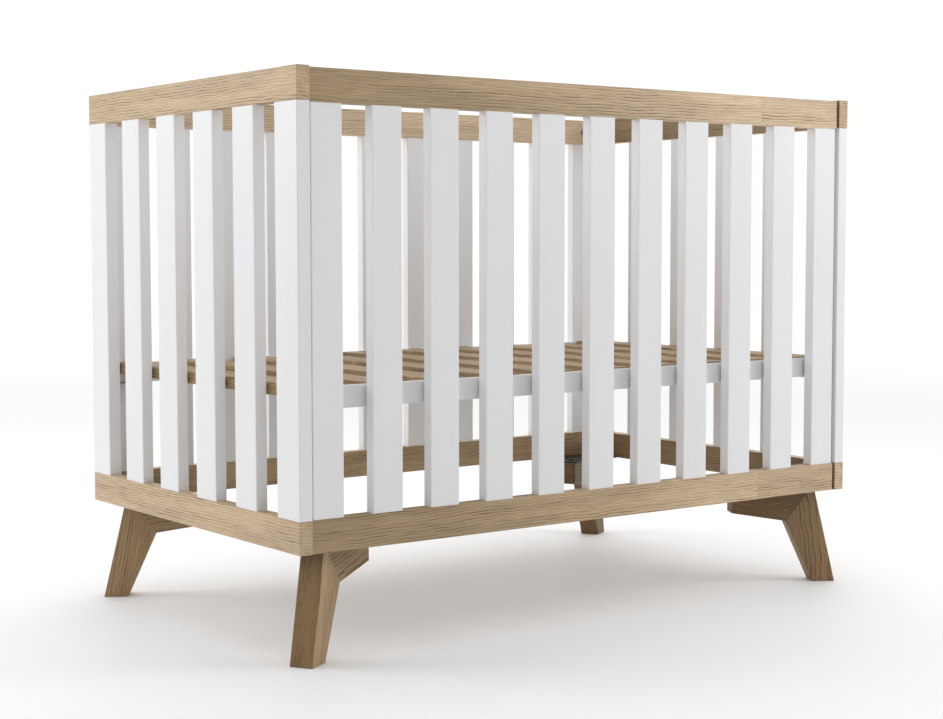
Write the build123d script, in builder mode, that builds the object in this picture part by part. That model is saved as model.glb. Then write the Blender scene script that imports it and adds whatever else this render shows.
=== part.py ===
from build123d import *
import os
from math import atan2, cos, degrees, radians, sin

# Slatted baby crib: two end panels, two side panels bolted between them, a lift-out
# mattress base and four splayed legs that point at the middle of the crib.
# Frame: X along the length, Y across (front is -Y), Z up, origin on the floor under
# the middle of the crib. Millimetres.

# ---------------------------------------------------------------- driving sizes
length = 1250.0          # outside, over the end panels
width = 756.0            # outside, along the end panels
end_height = 946.0       # floor to the top of the end panels
leg_height = 182.0       # floor to the underside of the bottom rails

rail_height = 54.0
rail_thick = 24.0
slat_thick = 21.0
slat_setback = 1.0       # slat face behind the rail face
rail_round = 1.5         # long edges of the rails
rail_end_round = 1.0     # end edges of the rails
slat_round = 1.8         # long edges of slats and posts

end_slat_width = 69.0    # the two outer ones are the posts
end_slat_count = 6
side_slat_width = 57.5
side_slat_count = 11
side_slat_inset = 3.0    # first slat from the end of the side rail
side_setback = 3.0       # side panel face behind the edge of the end panel
left_gap = 0.6           # joint between side panel and left end panel
right_gap = 3.4          # the same at the right, with all the play
side_drop = 2.0          # side panel top below the end panel top

tenon_length = 12.0
tenon_shoulder = 4.0
tenon_fit = 0.1          # mortise larger than tenon, each face
tenon_end_gap = 1.0      # mortise deeper than tenon

leg_thick = 41.0
foot_depth = 45.0        # foot, along the leg's own plane
leg_splay = 42.0         # the outer edge leans in by this much over its height
leg_top_land = 10.0      # width of the leg's top before the mitre starts
knee_reach = 99.0        # inner end of the mitre, from the foot's outer edge
knee_height = 121.0
bracket_reach = 208.0
bracket_end_height = 44.0
leg_round = 1.2

support_height = 407.0   # ledge that the mattress base rests on
support_thick = 3.0
support_width = 32.0
support_ledge = 38.0
support_drop = 40.0
support_side_gap = 6.0   # support bracket from the side panel
level_drops = (0.0, 85.0, 165.0)     # mattress base levels below the top one

base_gap = 0.3           # base above its supports
base_end_gap = 3.0       # base to end panel
base_side_gap = 3.0      # base to side panel
base_rail_thick = 24.0
base_rail_height = 36.5
base_ledge_width = 12.0
base_ledge_height = 17.7
base_slat_width = 65.0
base_slat_thick = 21.0
base_slat_count = 10
base_slat_fit = 0.5      # slat end to the rebate wall
base_slat_round = 2.0

plate_thick = 3.0
plate_margin = 8.0       # leg plate from the outer faces
plate_wing = 105.0
plate_tongue = 196.0     # along the leg's own plane
plate_tongue_width = 34.0
plate_fit = 0.3          # recess larger than the plate

hole_fit = 0.2           # hole diameter over bolt, pin or dowel
bolt_dia = 8.0
bolt_head_dia = 14.0
bolt_head_height = 4.0
leg_bolts_at = ((75.0, 66.0), (170.0, 36.0))     # along the leg plane, shank length
screw_dia = 4.0
screw_head_dia = 8.0
screw_length = 18.0
side_screw_offsets = (58.0, 92.0)                # along each wing, from the corner
end_screw_offsets = (45.0, 85.0)
support_bolt_dia = 6.0
support_bolt_head_dia = 10.5
support_bolt_head_height = 3.5
support_bolt_depth = 13.0
support_bolt_pitch = 18.0
cam_dia = 15.0
cam_depth = 16.0
cam_floor_gap = 0.5
cam_from_end = 34.0
pin_dia = 6.0
pin_depth = 14.0
dowel_dia = 8.0
dowel_depth = 13.0       # into the end rail
dowel_reach = 24.0       # into the side rail
dowel_offset = 15.0      # from the cam pin
mitre_dowel_length = 36.0
mitre_dowel_offset = 11.0

# ---------------------------------------------------------------- derived places
half_length = length / 2
half_width = width / 2
end_in = half_length - rail_thick                      # inner face of an end panel
side_out = half_width - side_setback                   # outer face of a side panel
side_mid = side_out - rail_thick / 2
side_in = side_out - rail_thick
side_rail_ends = {-1: left_gap - end_in, 1: end_in - right_gap}
side_rail_length = side_rail_ends[1] - side_rail_ends[-1]
side_panel_mid = (side_rail_ends[1] + side_rail_ends[-1]) / 2
bottom_rail_top = leg_height + rail_height
end_top_rail_bottom = end_height - rail_height
side_top_rail_bottom = end_top_rail_bottom - side_drop
end_slat_pitch = (width - end_slat_width) / (end_slat_count - 1)
side_slat_span = side_rail_length - 2 * side_slat_inset - side_slat_width
side_slat_pitch = side_slat_span / (side_slat_count - 1)
slat_mid_offset = rail_thick / 2 - slat_setback - slat_thick / 2

leg_angle = degrees(atan2(width, length))
mitre_top = leg_splay + leg_top_land
foot_x = half_length - leg_thick / 2 * sin(radians(leg_angle))
foot_y = half_width - leg_thick / 2 * cos(radians(leg_angle))

base_bottom = support_height + base_gap
base_length = 2 * (end_in - base_end_gap)
base_half_width = side_in - base_side_gap
base_slat_bottom = base_bottom + base_ledge_height
base_slat_length = 2 * (base_half_width - base_rail_thick + base_ledge_width - base_slat_fit)
base_slat_pitch = (base_length - base_slat_width) / (base_slat_count - 1)
support_mid = side_in - support_side_gap - support_width / 2
support_bolt_height = support_height - support_drop / 2 - support_thick

ends = (("left", -1), ("right", 1))
sides = (("front", -1), ("back", 1))
corners = [(f"{side}_{end}", sx, sy) for end, sx in ends for side, sy in sides]
joint_heights = (leg_height + rail_height / 2, side_top_rail_bottom + rail_height / 2)

os.makedirs("parts", exist_ok=True)


def save(piece, name):
    """Label a finished piece and write its STEP file."""
    piece.part.label = name
    export_step(piece.part, f"parts/{name}.step")


def leg_plane(sx, sy, across=0.0):
    """Upright plane through a leg: x runs inwards from the foot's outer edge, y is up."""
    along = Vector(-sx * cos(radians(leg_angle)), -sy * sin(radians(leg_angle)), 0)
    normal = along.cross(Vector(0, 0, 1))
    return Plane(origin=Vector(sx * foot_x, sy * foot_y, 0) + normal * across, x_dir=along, z_dir=normal)


def leg_point(sx, sy, along, height):
    """A point in the middle plane of a leg, in crib coordinates."""
    return leg_plane(sx, sy).from_local_coords(Vector(along, height, 0))


def plate_outline(sx, sy):
    """Kite outline of a leg plate, from the corner along both rails and over the bracket."""
    plane = leg_plane(sx, sy)
    tips = [plane.from_local_coords(Vector(plate_tongue, 0, turn * sx * sy * plate_tongue_width / 2))
            for turn in (1, -1)]
    corner_x, corner_y = half_length - plate_margin, half_width - plate_margin
    wing_x, wing_y = half_length - plate_wing, half_width - plate_wing
    return [
        (sx * corner_x, sy * corner_y),
        (sx * wing_x, sy * corner_y),
        (tips[0].X, tips[0].Y),
        (tips[1].X, tips[1].Y),
        (sx * corner_x, sy * wing_y),
    ]


def screw_places(sx, sy):
    """Plate screws: two up into the side rail and two up into the end rail."""
    side_y = sy * (half_width - (plate_margin + side_setback + rail_thick) / 2)
    end_x = sx * (half_length - (plate_margin + rail_thick) / 2)
    along_side = [(sx * (half_length - offset), side_y) for offset in side_screw_offsets]
    along_end = [(end_x, sy * (half_width - offset)) for offset in end_screw_offsets]
    return along_side + along_end


# ---------------------------------------------------------------- end panels
end_slat_centres = [end_slat_pitch * (n - (end_slat_count - 1) / 2) for n in range(end_slat_count)]

for end, sx in ends:
    end_mid = sx * (half_length - rail_thick / 2)
    end_slat_mid = end_mid + sx * slat_mid_offset

    for rail_name, rail_bottom in (("bottom", leg_height), ("top", end_top_rail_bottom)):
        mortise_floor = rail_bottom if rail_name == "top" else rail_bottom + rail_height
        mortise_depth = (tenon_length + tenon_end_gap) * (1 if rail_name == "top" else -1)
        joint_height = joint_heights[0] if rail_name == "bottom" else joint_heights[1]
        dowel_height = joint_height + dowel_offset * (1 if rail_name == "top" else -1)
        with BuildPart() as end_rail:
            profile = Plane(origin=(end_mid, -half_width, rail_bottom + rail_height / 2),
                            x_dir=(-1, 0, 0), z_dir=(0, 1, 0))
            with BuildSketch(profile):
                RectangleRounded(rail_thick, rail_height, rail_round)
            extrude(amount=width)
            fillet(end_rail.faces().filter_by(Axis.Y).edges(), rail_end_round)
            with BuildSketch(Plane.XY.offset(mortise_floor)):
                for n, centre in enumerate(end_slat_centres):
                    is_post = n in (0, end_slat_count - 1)
                    with Locations((end_mid if is_post else end_slat_mid, centre)):
                        Rectangle((rail_thick if is_post else slat_thick) - 2 * (tenon_shoulder - tenon_fit),
                                  end_slat_width - 2 * (tenon_shoulder - tenon_fit))
            extrude(amount=mortise_depth, mode=Mode.SUBTRACT)
            for side, sy in sides:
                with BuildSketch(Plane.YZ.offset(sx * end_in)):
                    with Locations((sy * side_mid, joint_height)):
                        Circle((pin_dia + hole_fit) / 2)
                extrude(amount=sx * pin_depth, mode=Mode.SUBTRACT)
                with BuildSketch(Plane.YZ.offset(sx * end_in)):
                    with Locations((sy * side_mid, dowel_height)):
                        Circle((dowel_dia + hole_fit) / 2)
                extrude(amount=sx * dowel_depth, mode=Mode.SUBTRACT)
            if rail_name == "bottom":
                for side, sy in sides:
                    with BuildSketch(Plane.XY.offset(leg_height)):
                        Polygon(*plate_outline(sx, sy), align=None)
                        offset(amount=plate_fit, kind=Kind.INTERSECTION)
                    extrude(amount=plate_thick, mode=Mode.SUBTRACT)
                    with BuildSketch(Plane.XY.offset(leg_height)):
                        with Locations(*screw_places(sx, sy)[2:]):
                            Circle((screw_dia + hole_fit) / 2)
                    extrude(amount=screw_length, mode=Mode.SUBTRACT)
        save(end_rail, f"{end}_end_{rail_name}_rail")

    slat_bottom, slat_top = bottom_rail_top, end_top_rail_bottom
    for n, centre in enumerate(end_slat_centres):
        is_post = n in (0, end_slat_count - 1)
        thick = rail_thick if is_post else slat_thick
        place = (end_mid if is_post else end_slat_mid, centre)
        with BuildPart() as end_slat:
            with BuildSketch(Plane.XY.offset(slat_bottom)):
                with Locations(place):
                    RectangleRounded(thick, end_slat_width, slat_round)
            extrude(amount=slat_top - slat_bottom)
            with BuildSketch(Plane.XY.offset(slat_bottom - tenon_length)):
                with Locations(place):
                    Rectangle(thick - 2 * tenon_shoulder, end_slat_width - 2 * tenon_shoulder)
            extrude(amount=slat_top - slat_bottom + 2 * tenon_length)
            if is_post:
                side_sign = -1 if n == 0 else 1
                with BuildSketch(Plane.YZ.offset(sx * end_in)):
                    for drop in level_drops:
                        with Locations((side_sign * support_mid, support_bolt_height - drop)):
                            with GridLocations(support_bolt_pitch, 0, 2, 1):
                                Circle((support_bolt_dia + hole_fit) / 2)
                extrude(amount=sx * support_bolt_depth, mode=Mode.SUBTRACT)
        if is_post:
            save(end_slat, f"{end}_end_post_{'front' if n == 0 else 'back'}")
        else:
            save(end_slat, f"{end}_end_slat_{n}")

# ---------------------------------------------------------------- side panels
side_slat_centres = [side_panel_mid + side_slat_pitch * (n - (side_slat_count - 1) / 2)
                     for n in range(side_slat_count)]

for side, sy in sides:
    side_slat_mid = sy * (side_mid + slat_mid_offset)

    for rail_name, rail_bottom in (("bottom", leg_height), ("top", side_top_rail_bottom)):
        mortise_floor = rail_bottom if rail_name == "top" else rail_bottom + rail_height
        mortise_depth = (tenon_length + tenon_end_gap) * (1 if rail_name == "top" else -1)
        joint_height = rail_bottom + rail_height / 2
        dowel_height = joint_height + dowel_offset * (1 if rail_name == "top" else -1)
        with BuildPart() as side_rail:
            profile = Plane(origin=(side_rail_ends[-1], sy * side_mid, joint_height),
                            x_dir=(0, 1, 0), z_dir=(1, 0, 0))
            with BuildSketch(profile):
                RectangleRounded(rail_thick, rail_height, rail_round)
            extrude(amount=side_rail_length)
            fillet(side_rail.faces().filter_by(Axis.X).edges(), rail_end_round)
            with BuildSketch(Plane.XY.offset(mortise_floor)):
                with Locations(*[(centre, side_slat_mid) for centre in side_slat_centres]):
                    Rectangle(side_slat_width - 2 * (tenon_shoulder - tenon_fit),
                              slat_thick - 2 * (tenon_shoulder - tenon_fit))
            extrude(amount=mortise_depth, mode=Mode.SUBTRACT)
            for end, sx in ends:
                rail_end = side_rail_ends[sx]
                with BuildSketch(Plane.YZ.offset(rail_end)):
                    with Locations((sy * side_mid, joint_height)):
                        Circle((pin_dia + hole_fit) / 2)
                extrude(amount=-sx * cam_from_end, mode=Mode.SUBTRACT)
                with BuildSketch(Plane.YZ.offset(rail_end)):
                    with Locations((sy * side_mid, dowel_height)):
                        Circle((dowel_dia + hole_fit) / 2)
                extrude(amount=-sx * (dowel_reach + tenon_end_gap), mode=Mode.SUBTRACT)
                with BuildSketch(Plane.XZ.offset(-sy * side_in)):
                    with Locations((rail_end - sx * cam_from_end, joint_height)):
                        Circle((cam_dia + hole_fit) / 2)
                extrude(amount=-sy * (cam_depth + cam_floor_gap), mode=Mode.SUBTRACT)
            if rail_name == "bottom":
                for end, sx in ends:
                    with BuildSketch(Plane.XY.offset(leg_height)):
                        Polygon(*plate_outline(sx, sy), align=None)
                        offset(amount=plate_fit, kind=Kind.INTERSECTION)
                    extrude(amount=plate_thick, mode=Mode.SUBTRACT)
                    with BuildSketch(Plane.XY.offset(leg_height)):
                        with Locations(*screw_places(sx, sy)[:2]):
                            Circle((screw_dia + hole_fit) / 2)
                    extrude(amount=screw_length, mode=Mode.SUBTRACT)
        save(side_rail, f"{side}_{rail_name}_rail")

    for n, centre in enumerate(side_slat_centres, start=1):
        with BuildPart() as side_slat:
            with BuildSketch(Plane.XY.offset(bottom_rail_top)):
                with Locations((centre, side_slat_mid)):
                    RectangleRounded(side_slat_width, slat_thick, slat_round)
            extrude(amount=side_top_rail_bottom - bottom_rail_top)
            with BuildSketch(Plane.XY.offset(bottom_rail_top - tenon_length)):
                with Locations((centre, side_slat_mid)):
                    Rectangle(side_slat_width - 2 * tenon_shoulder, slat_thick - 2 * tenon_shoulder)
            extrude(amount=side_top_rail_bottom - bottom_rail_top + 2 * tenon_length)
        save(side_slat, f"{side}_slat_{n:02d}")

# ---------------------------------------------------------------- legs
leg_outline = [(0, 0), (foot_depth, 0), (knee_reach, knee_height), (mitre_top, leg_height), (leg_splay, leg_height)]
bracket_outline = [(mitre_top, leg_height), (knee_reach, knee_height),
                   (bracket_reach, leg_height - bracket_end_height), (bracket_reach, leg_height)]
mitre_direction = Vector(mitre_top - knee_reach, leg_height - knee_height).normalized()
mitre_normal = Vector(mitre_direction.Y, -mitre_direction.X)
mitre_middle = Vector((mitre_top + knee_reach) / 2, (leg_height + knee_height) / 2)
mitre_dowel_start = mitre_middle - mitre_normal * (mitre_dowel_length / 2)


def mitre_dowel_plane(sx, sy, turn):
    """Plane at the leg end of a mitre dowel, facing along it."""
    across = turn * mitre_dowel_offset
    plane = leg_plane(sx, sy, across)
    start = plane.from_local_coords(Vector(mitre_dowel_start.X, mitre_dowel_start.Y, 0))
    finish = plane.from_local_coords(Vector(mitre_middle.X, mitre_middle.Y, 0))
    return Plane(origin=start, z_dir=finish - start)


def drill_leg(sx, sy):
    """Bolt holes down from the top and mitre dowel holes, for a leg or its bracket."""
    for along, shank in leg_bolts_at:
        spot = leg_point(sx, sy, along, leg_height)
        with BuildSketch(Plane(origin=spot)) as bolt_hole:
            Circle((bolt_dia + hole_fit) / 2)
        extrude(bolt_hole.sketch, amount=-(shank - plate_thick + tenon_end_gap), mode=Mode.SUBTRACT)
    for turn in (-1, 1):
        with BuildSketch(mitre_dowel_plane(sx, sy, turn).offset(-tenon_end_gap)) as dowel_hole:
            Circle((dowel_dia + hole_fit) / 2)
        extrude(dowel_hole.sketch, amount=mitre_dowel_length + 2 * tenon_end_gap, mode=Mode.SUBTRACT)


for corner, sx, sy in corners:
    for kind, outline in (("leg", leg_outline), ("leg_bracket", bracket_outline)):
        with BuildPart() as leg_piece:
            with BuildSketch(leg_plane(sx, sy)):
                with BuildLine():
                    Polyline(*outline, close=True)
                make_face()
            extrude(amount=leg_thick / 2, both=True)
            normal = Axis((0, 0, 0), leg_plane(sx, sy).z_dir)
            rims = leg_piece.faces().filter_by(normal).edges()
            knee = leg_point(sx, sy, knee_reach, knee_height)
            top = leg_point(sx, sy, mitre_top, leg_height)
            mitre_line = Axis(knee, top - knee)
            rims = rims.filter_by(mitre_line, reverse=True)
            rims = rims.filter_by(lambda edge: edge.center().Z < leg_height - 0.001)
            fillet(rims, leg_round)
            drill_leg(sx, sy)
        save(leg_piece, f"{kind}_{corner}")

with BuildPart() as leg_plates:
    for corner, sx, sy in corners:
        with BuildSketch(Plane.XY.offset(leg_height)):
            Polygon(*plate_outline(sx, sy), align=None)
        extrude(amount=plate_thick)
        with BuildSketch(Plane.XY.offset(leg_height)):
            for along, shank in leg_bolts_at:
                spot = leg_point(sx, sy, along, leg_height)
                with Locations((spot.X, spot.Y)):
                    Circle((bolt_dia + hole_fit) / 2)
        extrude(amount=plate_thick, mode=Mode.SUBTRACT)
        for x, y in screw_places(sx, sy):
            with Locations(Plane(origin=(x, y, leg_height), z_dir=(0, 0, -1))):
                CounterSinkHole(radius=(screw_dia + hole_fit) / 2,
                                counter_sink_radius=(screw_head_dia + hole_fit) / 2, depth=plate_thick)
save(leg_plates, "leg_plates")

# ---------------------------------------------------------------- mattress base
for side, sy in sides:
    with BuildPart() as base_rail:
        base_rail_mid = sy * (base_half_width - base_rail_thick / 2)
        profile = Plane(origin=(-base_length / 2, base_rail_mid, base_bottom + base_rail_height / 2),
                        x_dir=(0, 1, 0), z_dir=(1, 0, 0))
        with BuildSketch(profile):
            RectangleRounded(base_rail_thick, base_rail_height, rail_round)
            with Locations((-sy * (base_rail_thick - base_ledge_width) / 2, base_ledge_height / 2)):
                Rectangle(base_ledge_width, base_rail_height - base_ledge_height, mode=Mode.SUBTRACT)
        extrude(amount=base_length)
    save(base_rail, f"base_side_rail_{side}")

with BuildPart() as base_slats:
    with BuildSketch(Plane.XY.offset(base_slat_bottom)):
        with GridLocations(base_slat_pitch, 0, base_slat_count, 1):
            Rectangle(base_slat_width, base_slat_length)
    extrude(amount=base_slat_thick)
    fillet(base_slats.edges().filter_by(Axis.Y), base_slat_round)
save(base_slats, "base_slats")

# ---------------------------------------------------------------- steel supports for the base
with BuildPart() as base_supports:
    for corner, sx, sy in corners:
        wall, ledge_end = end_in, end_in - support_ledge
        inner = end_in - support_thick
        foot, top = support_height - support_drop, support_height
        angle = [(wall, foot), (wall, top), (ledge_end, top), (ledge_end, top - support_thick),
                 (inner, top - support_thick), (inner, foot)]
        with BuildSketch(Plane.XZ.offset(-sy * support_mid)):
            Polygon(*[(sx * x, z) for x, z in angle], align=None)
        extrude(amount=support_width / 2, both=True)
        with BuildSketch(Plane.YZ.offset(sx * inner)):
            with Locations((sy * support_mid, support_bolt_height)):
                with GridLocations(support_bolt_pitch, 0, 2, 1):
                    Circle((support_bolt_dia + hole_fit) / 2)
        extrude(amount=sx * support_thick, mode=Mode.SUBTRACT)
save(base_supports, "base_supports")

# ---------------------------------------------------------------- fasteners
with BuildPart() as leg_bolts:
    for corner, sx, sy in corners:
        for along, shank in leg_bolts_at:
            spot = leg_point(sx, sy, along, leg_height)
            seat = leg_height + plate_thick
            with BuildSketch(Plane.XY.offset(seat)):
                with Locations((spot.X, spot.Y)):
                    Circle(bolt_head_dia / 2)
            extrude(amount=bolt_head_height)
            with BuildSketch(Plane.XY.offset(seat)):
                with Locations((spot.X, spot.Y)):
                    Circle(bolt_dia / 2)
            extrude(amount=-shank)
    fillet(leg_bolts.faces().filter_by(Axis.Z).group_by(Axis.Z)[-1].edges(), bolt_head_height / 3)
save(leg_bolts, "leg_bolts")

with BuildPart() as plate_screws:
    for corner, sx, sy in corners:
        for x, y in screw_places(sx, sy):
            with BuildSketch(Plane.XY.offset(leg_height)):
                with Locations((x, y)):
                    Circle(screw_dia / 2)
            extrude(amount=screw_length - tenon_end_gap)
            with BuildSketch(Plane.XY.offset(leg_height)):
                with Locations((x, y)):
                    Circle(screw_head_dia / 2)
            extrude(amount=(screw_head_dia - screw_dia) / 2, taper=45)
save(plate_screws, "plate_screws")

with BuildPart() as support_bolts:
    for corner, sx, sy in corners:
        spots = [(sy * support_mid + step, support_bolt_height)
                 for step in (-support_bolt_pitch / 2, support_bolt_pitch / 2)]
        seat = sx * (end_in - support_thick)
        with BuildSketch(Plane.YZ.offset(seat)):
            with Locations(*spots):
                Circle(support_bolt_head_dia / 2)
        extrude(amount=-sx * support_bolt_head_height)
        with BuildSketch(Plane.YZ.offset(seat)):
            with Locations(*spots):
                Circle(support_bolt_dia / 2)
        extrude(amount=sx * (support_thick + support_bolt_depth - tenon_end_gap))
save(support_bolts, "support_bolts")

# Cam lock, its pin and a locating dowel at each of the eight panel joints.
with BuildPart() as cam_fittings:
    for corner, sx, sy in corners:
        for height in joint_heights:
            cam_x = side_rail_ends[sx] - sx * cam_from_end
            with BuildSketch(Plane.XZ.offset(-sy * side_in)):
                with Locations((cam_x, height)):
                    Circle(cam_dia / 2)
            extrude(amount=-sy * cam_depth)
            with BuildSketch(Plane.YZ.offset(cam_x)):
                with Locations((sy * side_mid, height)):
                    Circle((pin_dia + hole_fit) / 2)
            extrude(amount=sx * cam_dia, mode=Mode.SUBTRACT)
            pin_start = sx * (end_in + pin_depth - tenon_end_gap)
            pin_finish = cam_x + sx * tenon_end_gap
            with BuildSketch(Plane.YZ.offset(pin_start)):
                with Locations((sy * side_mid, height)):
                    Circle(pin_dia / 2)
            extrude(amount=pin_finish - pin_start)
save(cam_fittings, "cam_fittings")

with BuildPart() as dowels:
    for corner, sx, sy in corners:
        for height, turn in zip(joint_heights, (-1, 1)):
            start = sx * (end_in + dowel_depth - tenon_end_gap)
            finish = side_rail_ends[sx] - sx * dowel_reach
            with BuildSketch(Plane.YZ.offset(start)):
                with Locations((sy * side_mid, height + turn * dowel_offset)):
                    Circle(dowel_dia / 2)
            extrude(amount=finish - start)
        for turn in (-1, 1):
            with BuildSketch(mitre_dowel_plane(sx, sy, turn)):
                Circle(dowel_dia / 2)
            extrude(amount=mitre_dowel_length)
save(dowels, "dowels")
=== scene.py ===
"""Looks of a slatted baby crib: wood, paint and metal finishes, detailed fittings, studio and camera.

The crib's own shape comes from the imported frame, and every piece made here rides on one of its bodies.
"""

import logging
import math
from dataclasses import dataclass, field, replace
from enum import Enum
from typing import Callable, Iterable, Sequence

import bpy
from mathutils import Matrix, Vector


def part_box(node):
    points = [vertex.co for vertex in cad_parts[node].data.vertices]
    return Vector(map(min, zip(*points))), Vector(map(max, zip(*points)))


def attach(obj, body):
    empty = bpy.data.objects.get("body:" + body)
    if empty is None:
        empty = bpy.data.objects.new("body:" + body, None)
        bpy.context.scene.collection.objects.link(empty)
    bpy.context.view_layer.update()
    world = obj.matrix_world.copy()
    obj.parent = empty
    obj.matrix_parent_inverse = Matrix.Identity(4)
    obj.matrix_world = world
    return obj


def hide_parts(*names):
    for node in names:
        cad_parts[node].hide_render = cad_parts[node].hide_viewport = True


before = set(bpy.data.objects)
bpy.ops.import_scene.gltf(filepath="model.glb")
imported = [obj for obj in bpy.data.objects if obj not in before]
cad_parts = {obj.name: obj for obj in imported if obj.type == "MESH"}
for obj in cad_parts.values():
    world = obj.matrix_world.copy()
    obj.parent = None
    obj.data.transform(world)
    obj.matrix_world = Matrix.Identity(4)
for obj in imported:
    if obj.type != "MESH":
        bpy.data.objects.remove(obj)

log = logging.getLogger("crib")

Triple = tuple[float, float, float]
RGB = Triple
Box = tuple[Vector, Vector]

FRAME_BODY = "crib_frame"
UP = Vector((0, 0, 1))
ALONG = Vector((1, 0, 0))
ACROSS = Vector((0, 1, 0))

# Distances in metres that count as none: the first for corners and rims, the second for heights and merging.
SAME_POINT = 1e-5
TOUCHING = 1e-6

# Faces that meet at less than this angle are shaded as one.
SMOOTH_DEGREES = 32

# Darker oak loses green and blue faster than red: the power of its tone for each part of a colour.
BOARD_POWERS = (1.0, 1.15, 1.45)
FADE_POWERS = (1.0, 1.12, 1.40)

# How squarely a face has to look the given way to get its painted shade: from where to where.
FACE_TURN = (0.55, 0.85)

# How far along and across the log the wood beyond a glued joint comes from, and its tint.
STAVE_JUMP = (1.37, 0.014, 0.018)
STAVE_TINT = (0.92, 0.90, 0.89)

# How far apart in the log two boards of one row may come from.
ROW_JUMP = (3.0, 0.05, 0.05)

# Swings of a growth ring, slow, wavy and curled: features per metre along each axis, and height in metres.
RING_SWINGS = (((1.1, 5, 5), 0.030), ((7, 10, 10), 0.0090), ((24, 14, 14), 0.0040))

# Oak's other patterns, in features per metre along, across and through the board.
PORE_ROWS = (4, 60, 60)
PORE_DASHES = (26, 620, 620)
PORE_PITS = (70, 2100, 2100)
FIBRES = (12, 620, 620)
CLOUDS = (2.4, 16, 16)
RAYS = (46, 210, 420)

# Colour of a ray on an oak board's face, and how strongly it shows.
RAY_COLOUR = (0.86, 0.70, 0.50)
RAY_SHARE = 0.16


class Grain(Enum):
    """Which way the wood's grain runs on a piece that is square to the frame."""

    LENGTHWISE = (ALONG, UP)
    CROSSWISE = (ACROSS, UP)

    @property
    def run(self) -> Vector:
        """Direction of the grain."""
        return self.value[0]

    @property
    def across(self) -> Vector:
        """Direction across the grain, in the board's wide face."""
        return self.value[1]


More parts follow.
